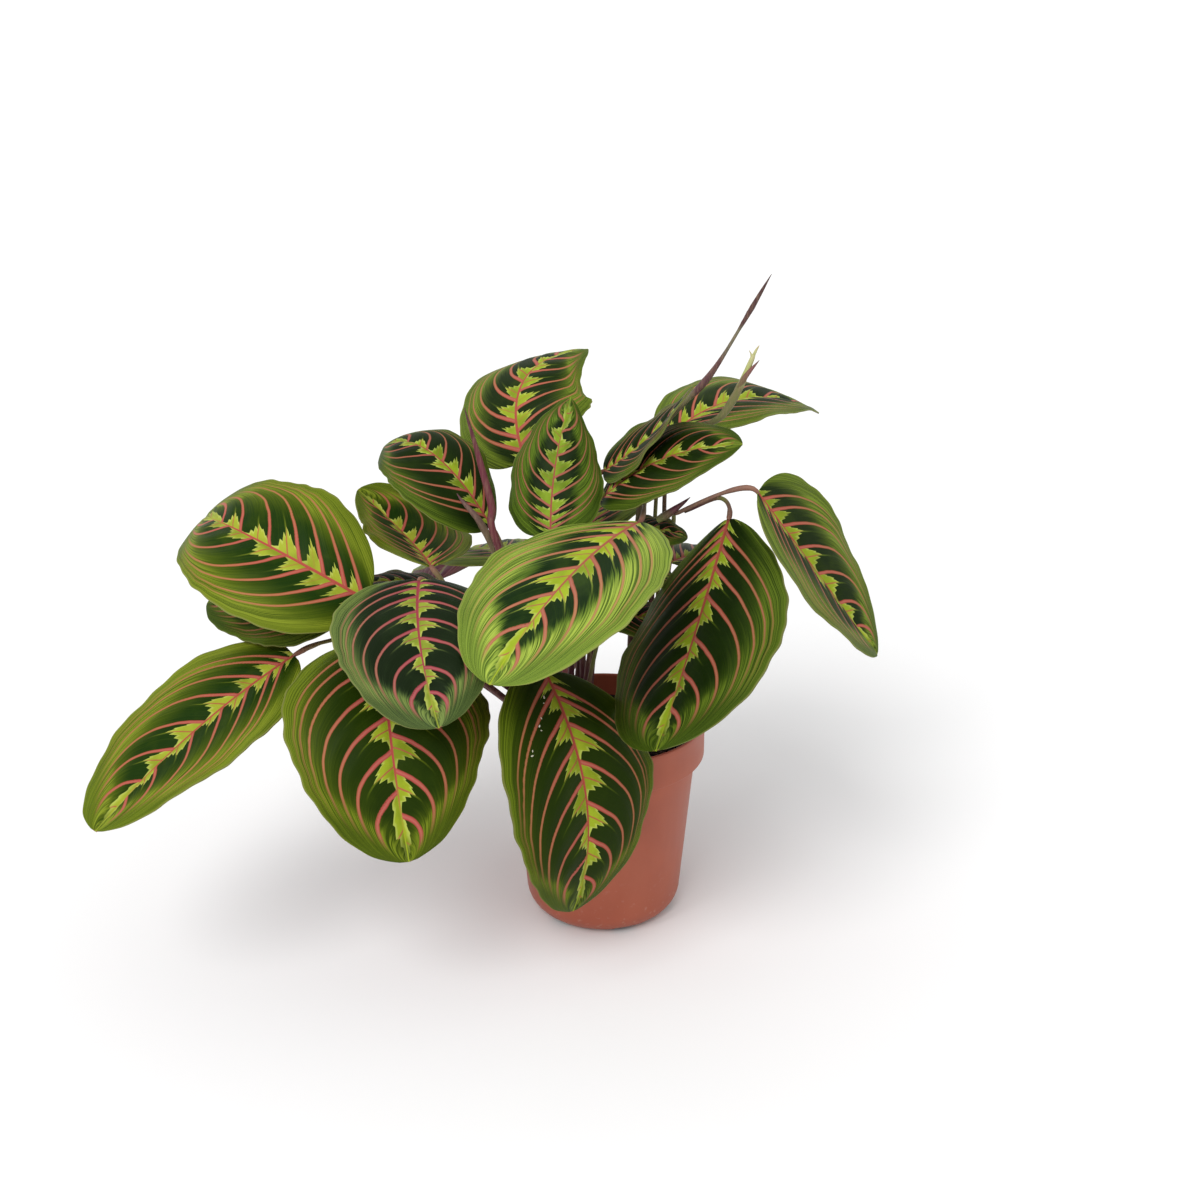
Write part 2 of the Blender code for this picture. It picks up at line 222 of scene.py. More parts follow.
band_foot = POT_HEIGHT - BAND_HEIGHT
outside = bowl_line(0) + [(54.5, 101.6), (55.0, 102.6), (55.8, band_foot)]
band = [(RIM_RADIUS - 1.3, band_foot)] + arc((RIM_RADIUS - 1.0, band_foot + 0.8), 0.8, -90, 0, 4)
band += [(RIM_RADIUS - 0.25, 112), (RIM_RADIUS - 0.15, 120.6), (RIM_RADIUS, 121.4), (RIM_RADIUS, 123.6)]
lip = arc((RIM_RADIUS - 1.0, POT_HEIGHT - 1.0), 1.0, 0, 180, 8)
inside = [(58.2, 121), (58.2, 106), (57.6, 104.9)] + bowl_line(WALL)[::-1]
pot = turned("plant_pot", outside + band + lip + inside, 128)
bpy.ops.object.select_all(action="DESELECT")
for slot in range(DRAIN_SLOTS):
    turn = radians(FIRST_SLOT_TURN + slot * 360 / DRAIN_SLOTS)
    slot_at = (SLOT_RADIUS * cos(turn) * MM, SLOT_RADIUS * sin(turn) * MM, SLOT_HEIGHT * MM)
    bpy.ops.mesh.primitive_cube_add(size=1, location=slot_at, rotation=(0, 0, turn), scale=SLOT_SIZE)
    cutter = bpy.context.object
    bpy.ops.object.transform_apply(location=True, rotation=True, scale=True)
    bpy.ops.object.mode_set(mode="EDIT")
    bpy.ops.mesh.bevel(offset=SLOT_ROUNDING * MM, segments=3, affect="EDGES")
    bpy.ops.object.mode_set(mode="OBJECT")
    bpy.ops.object.select_all(action="DESELECT")
    pot.select_set(True)
    bpy.context.view_layer.objects.active = pot
    cut = pot.modifiers.new("drain slot", "BOOLEAN")
    cut.operation = "DIFFERENCE"
    cut.solver = "EXACT"
    cut.object = cutter
    bpy.ops.object.modifier_apply(modifier=cut.name)
    bpy.data.objects.remove(cutter)
bpy.ops.object.shade_smooth_by_angle(angle=radians(40))

plastic, shader, place = new_finish("terracotta coloured plastic", 0.46, 0.32, coat=0.04)
calc, ease, tint, grain = calc_for(plastic.node_tree)
shader.inputs["Coat Roughness"].default_value = 0.35
cloud = grain(place, 22, 4)
flow = grain(place, 60, 2, (1, 1, 0.12))
pores = grain(place, 1400, 3)
split = plastic.node_tree.nodes.new("ShaderNodeSeparateXYZ")
plastic.node_tree.links.new(place, split.inputs[0])
height = split.outputs["Z"]
colour = tint(ease(cloud, 0.3, 0.7), (0.33, 0.078, 0.040), (0.39, 0.098, 0.050))
colour = tint(ease(flow, 0.45, 0.8, 0, 0.3), colour, (0.43, 0.125, 0.07))
# painted shade: the lower wall darkens towards the foot, where the leaves shade the pot
colour = tint(ease(height, 0.06, 0.0, 0, 0.45), colour, (0.27, 0.06, 0.03))
dust = calc("MULTIPLY", ease(grain(place, 300, 4), 0.58, 0.75), ease(height, 0.05, 0.004))
colour = tint(calc("MULTIPLY", dust, 0.3), colour, (0.5, 0.33, 0.25))
plastic.node_tree.links.new(colour, shader.inputs["Base Color"])
plastic.node_tree.links.new(ease(cloud, 0.3, 0.75, 0.4, 0.54), shader.inputs["Roughness"])
skin = calc("ADD", calc("MULTIPLY", pores, 0.5), calc("MULTIPLY", flow, 1.2))
raise_grain(plastic, shader, skin, 0.0003, 0.22)
pot.data.materials.append(plastic)
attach(pot, "root")
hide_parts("pot")

# Soil: damp black peat pressed into the pot, its top left rough, with crumbs of peat,
# chips of bark and a few white grains of perlite lying loose on it.
SOIL_TOP = 112.0
SOIL_FOOT, SOIL_FOOT_RADIUS = 97, 52.5
CRUMBS = 620
soil_edge = RIM_RADIUS - WALL - 0.6


def soil_swell(x, y, reach):
    """Broad lumps of the pressed soil and the dip along the pot's wall."""
    dip = 2.0 * max(0, reach / soil_edge - 0.85) / 0.15
    return noise.noise(Vector((x / 9, y / 9, 2))) * 1.6 - dip


rings = np.concatenate([[0], np.linspace(0.03, 1, 40) ** 0.8]) * soil_edge
turns = np.linspace(0, 2 * pi, 121)
spots = np.zeros((len(rings) + 2, len(turns), 3))
for i, ring in enumerate(rings):
    for j, turn in enumerate(turns):
        x, y = ring * cos(turn), ring * sin(turn)
        clods = noise.noise(Vector((x / 3, y / 3, 7))) * 0.9
        spots[i, j] = (x, y, SOIL_TOP + 0.6 + soil_swell(x, y, ring) + clods)
spots[:, -1] = spots[:, 0]
spots[len(rings), :, 0] = SOIL_FOOT_RADIUS * np.cos(turns)
spots[len(rings), :, 1] = SOIL_FOOT_RADIUS * np.sin(turns)
spots[len(rings):, :, 2] = SOIL_FOOT
soil, _, _ = laid_grid("soil_bed", spots)
close_up(soil)
bpy.ops.object.shade_smooth()

bpy.ops.object.select_all(action="DESELECT")
bpy.ops.mesh.primitive_ico_sphere_add(subdivisions=1, radius=1)
lump = bpy.context.object
lump_spots = np.array([v.co[:] for v in lump.data.vertices])
lump_faces = np.array([f.vertices[:] for f in lump.data.polygons])
bpy.data.objects.remove(lump)
chance = np.random.default_rng(12)
crumb_spots, crumb_faces, crumb_kinds = [], [], []
for k in range(CRUMBS):
    bark = k % 5 == 0
    perlite = k % 31 == 7
    reach = soil_edge * 0.965 * np.sqrt(chance.uniform(0, 1))
    turn = chance.uniform(0, 2 * pi)
    size = chance.uniform(0.5, 1.5) * (1.25 if bark else 1) * (0.7 if perlite else 1)
    shape = size * np.array([chance.uniform(1, 2.4) if bark else 1, 1, 0.45 if bark else 0.8])
    corners = lump_spots * chance.uniform(0.75, 1.15, (len(lump_spots), 1)) * shape
    spin, lean = chance.uniform(0, 2 * pi), chance.uniform(-0.5, 0.5)
    about = np.array([[cos(spin), -sin(spin), 0], [sin(spin), cos(spin), 0], [0, 0, 1]])
    tilt = np.array([[cos(lean), 0, sin(lean)], [0, 1, 0], [-sin(lean), 0, cos(lean)]])
    x, y = reach * cos(turn), reach * sin(turn)
    level = SOIL_TOP + 0.7 + soil_swell(x, y, reach)
    crumb_faces += [tuple(face + 12 * len(crumb_spots)) for face in lump_faces]
    crumb_spots.append(corners @ tilt.T @ about.T + (x, y, level))
    crumb_kinds += [2 if perlite else 1 if bark else 0] * len(lump_faces)
crumb_mesh = bpy.data.meshes.new("soil_crumbs")
crumb_mesh.from_pydata([tuple(c) for c in np.concatenate(crumb_spots) * MM], [], crumb_faces)
crumbs = bpy.data.objects.new("soil_crumbs", crumb_mesh)
bpy.context.scene.collection.objects.link(crumbs)
crumb_mesh.shade_smooth()

for kind, dark, light, scale in (("damp peat", (0.005, 0.0035, 0.0025), (0.03, 0.02, 0.013), 240),
                                 ("bark chip", (0.02, 0.011, 0.006), (0.07, 0.04, 0.022), 400),
                                 ("perlite", (0.4, 0.38, 0.34), (0.62, 0.6, 0.56), 700)):
    earth, shader, place = new_finish(kind, 0.9, 0.25)
    calc, ease, tint, grain = calc_for(earth.node_tree)
    crumble = grain(place, scale, 6)
    earth.node_tree.links.new(tint(ease(crumble, 0.35, 0.72), dark, light), shader.inputs["Base Color"])
    earth.node_tree.links.new(ease(crumble, 0.3, 0.7, 0.95, 0.7), shader.inputs["Roughness"])
    raise_grain(earth, shader, crumble, 0.0012, 0.8)
    crumb_mesh.materials.append(earth)
    if kind == "damp peat":
        soil.data.materials.append(earth)
crumb_mesh.polygons.foreach_set("material_index", crumb_kinds)
for piece in (soil, crumbs):
    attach(piece, "root")
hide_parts("soil")

# Leaf blades: oval, thin and limp, each with a sunken midrib, side veins that arch
# towards the tip with the tissue puffed up between them, and a painted upper face.
# Each leaf in millimetres and degrees: where the blade meets its stalk, its heading and
# rise, length and width, how its midrib bows up (arch) and sideways (sway), how it leans
# (roll) and is wrung (twist), each half's fold up from the midrib and curl down to the
# edge (left, right), where it is widest, how pointed it ends (tip), and its stalk's foot,
# points on its way and how strongly it sets off (up) and arrives (back).
# The leaves deep in the plant and behind it share one plain shape.
PLAIN = dict(sway=0, roll=0, twist=0, fold=(8, 8), curl=(25, 25), widest=0.85, tip=0.47, via=[])
LEAVES = {
    "far_left": dict(
        at=(-130, -42, 216), heading=143, rise=9, length=130, width=90,
        arch=30, sway=-10, roll=-32, twist=0, fold=(12, 12), curl=(25, 25),
        widest=0.7, tip=0.47, foot=(-22, -8), via=[], up=75, back=120),
    "under_left": dict(
        at=(-138, -28, 207), heading=158, rise=-8, length=100, width=74,
        arch=4, sway=4, roll=-22, twist=0, fold=(6, 6), curl=(32, 32),
        widest=0.75, tip=0.47, foot=(-30, 2), via=[], up=55, back=90),
    "low_left": dict(
        at=(-172, -40, 182), heading=-136, rise=-25, length=143, width=90,
        arch=0, sway=8, roll=-3, twist=-5, fold=(15, 15), curl=(19, 19),
        widest=0.75, tip=0.47, foot=(-38, -6), via=[], up=50, back=180),
    "front_left": dict(
        at=(-121, -50, 196), heading=-77, rise=-48, length=124, width=110,
        arch=28, sway=6, roll=-3, twist=0, fold=(8, 8), curl=(25, 25),
        widest=0.76, tip=0.47, foot=(-34, -16), via=[], up=60, back=120),
    "mid_left": dict(
        at=(-101, -38, 226), heading=-80, rise=-20, length=112, width=92,
        arch=8, sway=3, roll=12, twist=-8, fold=(16, 16), curl=(55, 18),
        widest=0.7, tip=0.47, foot=(-28, -26), via=[], up=85, back=45),
    "centre": dict(
        at=(20, -8, 249), heading=-122, rise=-16, length=152, width=106,
        arch=14, sway=-3, roll=2, twist=0, fold=(12, 12), curl=(23, 23),
        widest=1.05, tip=0.47, foot=(20, 42), via=[(24, 41, 240)], up=110, back=24),
    "front": dict(
        at=(-32, -66, 184), heading=-65, rise=-75, length=136, width=104,
        arch=30, sway=4, roll=-14, twist=-15, fold=(8, 14), curl=(25, 25),
        widest=0.68, tip=0.56, foot=(-8, -28), via=[], up=70, back=75),
    "right": dict(
        at=(71, 6, 246), heading=-109, rise=-31, length=158, width=110,
        arch=-5, sway=3, roll=26, twist=6, fold=(6, 6), curl=(28, 28),
        widest=1.0, tip=0.54, foot=(45.6, 8, 250), via=[(66, 10, 257)], up=0, back=20),
    "far_right": dict(
        at=(85, -12, 268), heading=5, rise=-54, length=125, width=88,
        arch=0, sway=0, roll=25, twist=5, fold=(19, 19), curl=(15, 15),
        widest=0.68, tip=0.58, foot=(32, 30), via=[(41, 42, 226), (43, 6, 250)], up=110, back=30),
    "upright": dict(
        at=(-30, 0, 239), heading=72, rise=62, length=79, width=60,
        arch=-5, sway=-4, roll=8, twist=-10, fold=(0, 0), curl=(43, 43),
        widest=0.65, tip=0.75, foot=(-24, 0), via=[], up=70, back=60),
    "top": dict(
        at=(-46, 46, 268), heading=62, rise=32, length=92, width=92,
        arch=20, sway=-13, roll=-14, twist=5, fold=(6, -3), curl=(22, 45),
        widest=0.65, tip=0.66, foot=(-28, 34), via=[], up=110, back=90),
    "upper_left": dict(
        at=(-63, -4, 245), heading=141, rise=21, length=88, width=64,
        arch=26, sway=-4, roll=-15, twist=20, fold=(4, 4), curl=(38, 38),
        widest=0.75, tip=0.47, foot=(-28, 8), via=[], up=90, back=90),
    "half_hidden": dict(
        at=(-97, -10, 223), heading=130, rise=20, length=78, width=70,
        arch=-8, sway=12, roll=9, twist=-6, fold=(20, 20), curl=(12, 12),
        widest=0.85, tip=0.47, foot=(-40, 10), via=[], up=70, back=36),
    "top_right": dict(
        at=(35, 58, 275), heading=29, rise=1, length=112, width=78,
        arch=16, sway=-6, roll=3, twist=0, fold=(13, 13), curl=(22, 22),
        widest=0.87, tip=0.75, foot=(28, 44), via=[], up=110, back=18),
    "folded": dict(
        at=(0, 41, 263), heading=-24, rise=46, length=79, width=46,
        arch=-4, sway=0, roll=20, twist=26, fold=(13, 13), curl=(23, 23),
        widest=0.65, tip=0.62, foot=(-20, 38), via=[], up=100, back=60),
    "side_right": dict(
        at=(-2, 26, 250), heading=-20, rise=27, length=94, width=62,
        arch=8, sway=-4, roll=26, twist=0, fold=(8, 8), curl=(25, 25),
        widest=0.84, tip=0.6, foot=(-12, 26), via=[], up=100, back=60),
    "inner_high": dict(
        PLAIN, at=(7, 24, 227), heading=-8, rise=4, length=42, width=36,
        arch=6, roll=10, foot=(-9, 20), up=90, back=18),
    "inner_middle": dict(
        PLAIN, at=(2, 21, 204), heading=-6, rise=0, length=39, width=40,
        arch=6, roll=8, foot=(-12, 12), up=70, back=18),
    "inner_low": dict(
        PLAIN, at=(3, 14, 180), heading=-10, rise=-4, length=54, width=44,
        arch=6, roll=5, foot=(-12, 2), up=50, back=18),
    "tucked_left": dict(
        PLAIN, at=(-88, 8, 200), heading=176, rise=2, length=62, width=40,
        arch=5, foot=(-38, 16), up=60, back=120),
    "back_right": dict(
        PLAIN, at=(40, 56, 200), heading=45, rise=-28, length=106, width=76,
        arch=16, foot=(37, 40), up=60, back=60),
    "back_left": dict(
        PLAIN, at=(-48, 44, 206), heading=128, rise=-24, length=108, width=76,
        arch=14, foot=(-38, 26), up=70, back=60),
    "back_middle": dict(
        PLAIN, at=(-6, 52, 222), heading=92, rise=-14, length=104, width=70,
        arch=16, foot=(-16, 52), up=90, back=24),
    "back_low": dict(
        PLAIN, at=(-22, 64, 172), heading=105, rise=-56, length=104, width=74,
        arch=22, foot=(-20, 46), up=50, back=60),
}

# Tones of a blade: the dark field, the green beyond it, its pale streaks, the jagged
# band beside the midrib, the veins, how far out the dark field reaches and how softly
# it ends (soft), how far the band's lobes stand out, and how glossy the face is.
TONES = {
    "bright": dict(dark=(0.004, 0.018, 0.001), green=(0.085, 0.155, 0.014), light=(0.34, 0.44, 0.06),
                   band=(0.33, 0.42, 0.02), vein=(0.36, 0.10, 0.06), reach=0.46, lobes=1.2, soft=0.06,
                   gloss=0.09),
    "fresh": dict(dark=(0.008, 0.028, 0.0005), green=(0.075, 0.115, 0.003), light=(0.22, 0.27, 0.02),
                  band=(0.33, 0.38, 0.03), vein=(0.38, 0.07, 0.05), reach=0.60, lobes=1.0, soft=0.22,
                  gloss=0.06),
    "olive": dict(dark=(0.013, 0.028, 0.0008), green=(0.042, 0.068, 0.002), light=(0.16, 0.21, 0.012),
                  band=(0.29, 0.36, 0.02), vein=(0.38, 0.065, 0.055), reach=0.72, lobes=1.0, soft=0.20,
                  gloss=0.05),
    "dusky": dict(dark=(0.012, 0.025, 0.0006), green=(0.030, 0.052, 0.001), light=(0.12, 0.17, 0.008),
                  band=(0.28, 0.35, 0.02), vein=(0.34, 0.065, 0.045), reach=0.80, lobes=1.0, soft=0.22,
                  gloss=0.05),
    "middle": dict(dark=(0.007, 0.018, 0.001), green=(0.060, 0.095, 0.006), light=(0.17, 0.24, 0.02),
                   band=(0.28, 0.36, 0.02), vein=(0.36, 0.075, 0.05), reach=0.56, lobes=1.0, soft=0.12,
                   gloss=0.08),
    "deep": dict(dark=(0.006, 0.015, 0.001), green=(0.026, 0.052, 0.003), light=(0.10, 0.15, 0.012),
                 band=(0.23, 0.31, 0.015), vein=(0.30, 0.065, 0.042), reach=0.68, lobes=1.0, soft=0.14,
                 gloss=0.05),
    "broad": dict(dark=(0.005, 0.014, 0.002), green=(0.040, 0.075, 0.006), light=(0.11, 0.18, 0.015),
                  band=(0.21, 0.31, 0.02), vein=(0.30, 0.075, 0.05), reach=0.44, lobes=1.45, soft=0.07,
                  gloss=0.06),
    "velvet": dict(dark=(0.005, 0.012, 0.002), green=(0.028, 0.055, 0.014), light=(0.16, 0.22, 0.05),
                   band=(0.27, 0.33, 0.03), vein=(0.30, 0.045, 0.06), reach=0.70, lobes=0.9, soft=0.07,
                   gloss=0.08),
}
LEAF_TONES = dict(
    far_left="fresh", under_left="deep", low_left="fresh", front_left="olive",
    mid_left="velvet", centre="bright", front="dusky", right="deep", far_right="middle",
    upright="broad", top="middle", upper_left="deep", half_hidden="fresh",
    top_right="middle", folded="deep", side_right="deep", inner_high="deep",
    inner_middle="deep", inner_low="deep", tucked_left="deep", back_right="middle",
    back_left="bright", back_middle="middle", back_low="deep")

# Where the side veins leave the midrib on the left and the right half, as shares of the
# blade's length; then its mesh and thickness, how full its outline is, the half widths
# of its neck and tip, its relief, and how uneven the edge is as a share of the width.
VEIN_STARTS = ((0.04, 0.105, 0.20, 0.33, 0.49, 0.66, 0.82),
               (0.015, 0.07, 0.15, 0.265, 0.41, 0.575, 0.74))
ROWS, COLUMNS = 108, 64
BLADE_THICK = 0.7
BLADE_FULLNESS = 0.62
CURL_STEPS = 12
NECK_HALF, TIP_HALF = 1.1, 0.25
PUFF_HEIGHT, RIPPLE_HEIGHT, GROOVE_DEPTH = 0.9, 1.1, 0.55
EDGE_UNEVENNESS = 0.0038


def leaf_axes(leaf):
    heading, rise, roll = (radians(leaf[key]) for key in ("heading", "rise", "roll"))
    along = np.array([cos(heading) * cos(rise), sin(heading) * cos(rise), sin(rise)])
    right = np.array([sin(heading), -cos(heading), 0.0])
    up = np.cross(right, along)
    up = up * cos(roll) + right * sin(roll)
    return along, np.cross(along, up), up


def unit(vectors):
    return vectors / np.linalg.norm(vectors, axis=-1, keepdims=True)


def midrib(leaf, share):
    """Points on the midrib and the blade's own axes there, for an array of shares."""
    along, right, up = leaf_axes(leaf)
    share = np.atleast_1d(share)[:, None]
    lean = leaf["arch"] * up + leaf["sway"] * right
    bow = 4 * share * (1 - share) * lean
    point = np.array(leaf["at"], float) + share * leaf["length"] * along + bow
    forward = unit(leaf["length"] * along + 4 * (1 - 2 * share) * lean)
    side = unit(right - (forward @ right)[:, None] * forward)
    face = np.cross(side, forward)
    wring = radians(leaf["twist"]) * (share - 0.5)
    side = side * np.cos(wring) + face * np.sin(wring)
    return point, forward, side, np.cross(side, forward)


def half_width(leaf, share):
    """Half the blade's width: full and round, with a very short point at the end."""
    swell = np.maximum(np.sin(pi * share ** leaf["widest"]), 0)
    fullness = BLADE_FULLNESS + (leaf["tip"] - BLADE_FULLNESS) * np.clip(share * 2 - 0.7, 0, 1)
    point = np.clip((share - 0.95) / 0.05, 0, 1)
    return leaf["width"] / 2 * swell ** fullness * (1 - 0.3 * point ** 2)


def vein_count(leaf, starts, share, out):
    """How many side veins lie between the stalk and this place, as a running number,
    and how far along its vein the place is. A vein sets off steeply and then arches on
    beside the edge towards the tip."""
    line = np.linspace(0, 0.995, 500)
    arch = 0.97 * half_width(leaf, line) / leaf["length"] * (1 - np.exp(-line / 0.18)) ** 0.7
    steep = np.maximum.accumulate(arch / (1 - line))
    left = np.maximum(1 - share, 0.002)
    run = np.interp(out / leaf["length"] / left, steep, line)
    marks = np.concatenate([[starts[0] - 2.0], starts, [1.05]])
    numbers = np.concatenate([[-40.0], np.arange(len(starts)), [len(starts) - 0.2]])
    return np.interp(1 - left / (1 - run), marks, numbers), run


def blade_spots(leaf, share, across):
    """Points of the blade for grids of shares along it and across it (right is 1)."""
    point, forward, side, face = midrib(leaf, share)
    half = np.maximum(half_width(leaf, share), NECK_HALF + (TIP_HALF - NECK_HALF) * share)[:, None]
    fold = np.where(across > 0, leaf["fold"][1], leaf["fold"][0])
    curl = np.where(across > 0, leaf["curl"][1], leaf["curl"][0])
    parts = (np.arange(CURL_STEPS) + 0.5)[:, None] / CURL_STEPS * np.abs(across)
    angles = np.radians(fold - curl * parts)
    out = np.cos(angles).mean(0) * across
    lift = np.sin(angles).mean(0) * np.abs(across)
    return (point[:, None] + half[..., None] * out[None, :, None] * side[:, None]
            + half[..., None] * lift[None, :, None] * face[:, None])


def build_blade(name, leaf, seed):
    """The blade as a sheet, with the tissue puffed up between its veins, a rippled and
    slightly uneven edge, and the vein count and place of each point kept in its mesh."""
    luck = np.random.default_rng(seed)
    steps = np.arange(ROWS + 1) / ROWS
    share = 0.5 * steps + 0.25 * (1 - np.cos(pi * steps))
    across = np.linspace(1, -1, COLUMNS + 1)
    spots = blade_spots(leaf, share, across)
    out = np.abs(across)[None] * half_width(leaf, share)[:, None]
    shares = np.repeat(share[:, None], COLUMNS + 1, axis=1)
    veins = []
    for starts in VEIN_STARTS:
        starts = np.array(starts) + luck.uniform(-0.012, 0.012, len(starts))
        here, run = vein_count(leaf, starts, shares, out)
        ahead, _ = vein_count(leaf, starts, shares + 1 / leaf["length"], out)
        beside, _ = vein_count(leaf, starts, shares, out + 1)
        gap = 1 / np.maximum(np.hypot(ahead - here, beside - here), 0.02)
        veins.append(np.stack([here, gap, run], axis=2))
    own = np.where((across > 0)[None, :, None], veins[1], veins[0])
    normal = unit(np.cross(np.gradient(spots, axis=0), np.gradient(spots, axis=1)))
    spread = np.abs(across)[None]
    puff = 0.5 * (1 - np.cos(2 * pi * own[..., 0])) * np.clip(own[..., 1] / 14, 0, 1)
    puff *= np.clip(out / 6, 0, 1) * (1 - spread ** 5) * (own[..., 0] > -1)
    wave = np.sin(2 * pi * (shares * luck.uniform(2.2, 3.4) + luck.uniform(0, 1)) + (across > 0) * 1.7)
    ripple = RIPPLE_HEIGHT * wave * spread ** 4 * np.sin(pi * shares)
    groove = GROOVE_DEPTH * np.exp(-(out / 1.6) ** 2) * (1 - 0.6 * shares)
    outwards = spots - spots[:, COLUMNS // 2:COLUMNS // 2 + 1]
    outwards /= np.maximum(np.linalg.norm(outwards, axis=2, keepdims=True), 0.1)
    uneven = np.sin(2 * pi * (shares * 5.3 + luck.uniform(0, 1)) + (across > 0) * 2.1)
    uneven = uneven + np.sin(2 * pi * (shares * 9.7 + luck.uniform(0, 1)) - (across > 0) * 1.3)
    uneven *= EDGE_UNEVENNESS * leaf["width"] * spread ** 7 * np.sin(pi * shares) ** 0.5
    raised = (PUFF_HEIGHT * puff + ripple - groove)[..., None]
    spots = spots + normal * raised + outwards * uneven[..., None]
    blade, row, column = laid_grid("leaf_" + name, spots)
    mesh = blade.data
    corner = np.zeros(len(mesh.loops), int)
    mesh.loops.foreach_get("vertex_index", corner)
    face_column = column[corner].reshape(-1, 4).mean(1).repeat(4)
    on_left = (face_column > COLUMNS / 2).astype(int)
    marks = np.stack(veins)[1 - on_left, row[corner], column[corner]]
    marks[:, 2] += 2 * on_left
    vein = mesh.attributes.new("vein", "FLOAT_VECTOR", "CORNER")
    vein.data.foreach_set("vector", marks.ravel())
    lie = mesh.attributes.new("lie", "FLOAT_VECTOR", "POINT")
    lie.data.foreach_set("vector", np.column_stack(
        [share[row], np.abs(across[column]), out[row, column]]).ravel())
    close_up(blade, outwards=False)
    return blade


def give_wall(piece, thickness):
    wall = piece.modifiers.new("thickness", "SOLIDIFY")
    wall.thickness = thickness * MM
    wall.offset = 0
    wall.use_even_offset = False
    wall.material_offset = 1
    bpy.ops.object.modifier_apply(modifier=wall.name)
    bpy.ops.object.shade_smooth_by_angle(angle=radians(70))


# The painted pattern, one group of nodes shared by all blades. It reads the vein count
# and where on the blade a point lies, both kept in the blade's own mesh.
markings = bpy.data.node_groups.new("leaf markings", "ShaderNodeTree")
for socket, kind, value in (
        ("Dark", "NodeSocketColor", None), ("Green", "NodeSocketColor", None),
        ("Light", "NodeSocketColor", None), ("Band", "NodeSocketColor", None),
        ("Vein", "NodeSocketColor", None), ("Reach", "NodeSocketFloat", 0.6),
        ("Half Width", "NodeSocketFloat", 45.0), ("Seed", "NodeSocketFloat", 0.0),
        ("Lobes", "NodeSocketFloat", 1.0), ("Soft", "NodeSocketFloat", 0.1)):
    entry = markings.interface.new_socket(socket, in_out="INPUT", socket_type=kind)
    if value is not None:
        entry.default_value = value
for socket, kind in (("Colour", "NodeSocketColor"), ("Height", "NodeSocketFloat"),
                     ("Roughness", "NodeSocketFloat")):
    markings.interface.new_socket(socket, in_out="OUTPUT", socket_type=kind)
given = markings.nodes.new("NodeGroupInput").outputs
result = markings.nodes.new("NodeGroupOutput").inputs
calc, ease, tint, grain = calc_for(markings)


def read_parts(tree, attribute):
    source = tree.nodes.new("ShaderNodeAttribute")
    source.attribute_name = attribute
    parts = tree.nodes.new("ShaderNodeSeparateXYZ")
    tree.links.new(source.outputs["Vector"], parts.inputs[0])
    return parts.outputs


def joined(tree, *values):
    node = tree.nodes.new("ShaderNodeCombineXYZ")
    for socket, value in zip(node.inputs, values):
        if isinstance(value, bpy.types.NodeSocket):
            tree.links.new(value, socket)
        else:
            socket.default_value = value
    return node.outputs[0]


count, gap, hand_and_run = read_parts(markings, "vein")
hand = calc("GREATER_THAN", hand_and_run, 1.5)
run = calc("SUBTRACT", hand_and_run, calc("MULTIPLY", hand, 2.0))
along, spread, out = read_parts(markings, "lie")
seed = calc("ADD", calc("MULTIPLY", given["Seed"], 7.3), calc("MULTIPLY", hand, 3.1))
skin = joined(markings, calc("MULTIPLY", along, 7.0), calc("MULTIPLY", spread, 3.0), seed)
sway = calc("MULTIPLY", calc("SUBTRACT", grain(skin, 1.0, 2), 0.5), 0.14)
count = calc("ADD", count, sway)

# streaks run along the veins, so they are fine across them and long beside them
fibres = joined(markings, calc("MULTIPLY", count, 15.0), calc("MULTIPLY", spread, 1.6), seed)
streak = grain(fibres, 1.0, 3)
fine_fibres = joined(markings, calc("MULTIPLY", count, 34.0), calc("MULTIPLY", spread, 2.6), seed)
fine = grain(fine_fibres, 1.0, 2)
cloudy = grain(skin, 0.9, 3)

# a number of its own for each field between two veins
toss = markings.nodes.new("ShaderNodeTexWhiteNoise")
toss.noise_dimensions = "1D"
markings.links.new(calc("ADD", calc("FLOOR", count), calc("MULTIPLY", seed, 5.7)), toss.inputs["W"])
luck_here = toss.outputs["Value"]

# dark field, then green with pale streaks to the edge
reach = calc("ADD", given["Reach"], calc("MULTIPLY", calc("SUBTRACT", luck_here, 0.5), 0.16))
reach = calc("MULTIPLY", reach, ease(along, 0.66, 0.98, 1.0, 0.05))
feather = calc("ADD", calc("MULTIPLY", streak, 0.65), calc("MULTIPLY", fine, 0.35))
reach = calc("ADD", reach, calc("MULTIPLY", calc("SUBTRACT", feather, 0.5), 0.75))
beyond = calc("SUBTRACT", spread, reach)
inside_dark = ease(calc("DIVIDE", beyond, given["Soft"]), -1.4, 1.0, 1.0, 0.0)
pale_rim = calc("MULTIPLY", ease(beyond, -0.02, 0.12), ease(beyond, 0.14, 0.5, 1.0, 0.25))
green_skin = tint(ease(cloudy, 0.35, 0.7, 0.0, 0.35), given["Green"], given["Dark"])
outer = tint(calc("MULTIPLY", ease(streak, 0.42, 0.58), pale_rim), green_skin, given["Light"])
outer = tint(calc("MULTIPLY", ease(fine, 0.46, 0.62), 0.45), outer, given["Light"])
outer = tint(calc("MULTIPLY", ease(streak, 0.5, 0.36), 0.45), outer, given["Dark"])
dark_skin = tint(calc("MULTIPLY", ease(cloudy, 0.45, 0.75), 0.22), given["Dark"], given["Green"])
dark_skin = tint(calc("MULTIPLY", ease(fine, 0.5, 0.7), 0.10), dark_skin, given["Green"])
colour = tint(inside_dark, outer, dark_skin)
colour = tint(ease(spread, 0.93, 1.0, 0.0, 0.3), colour, given["Light"])

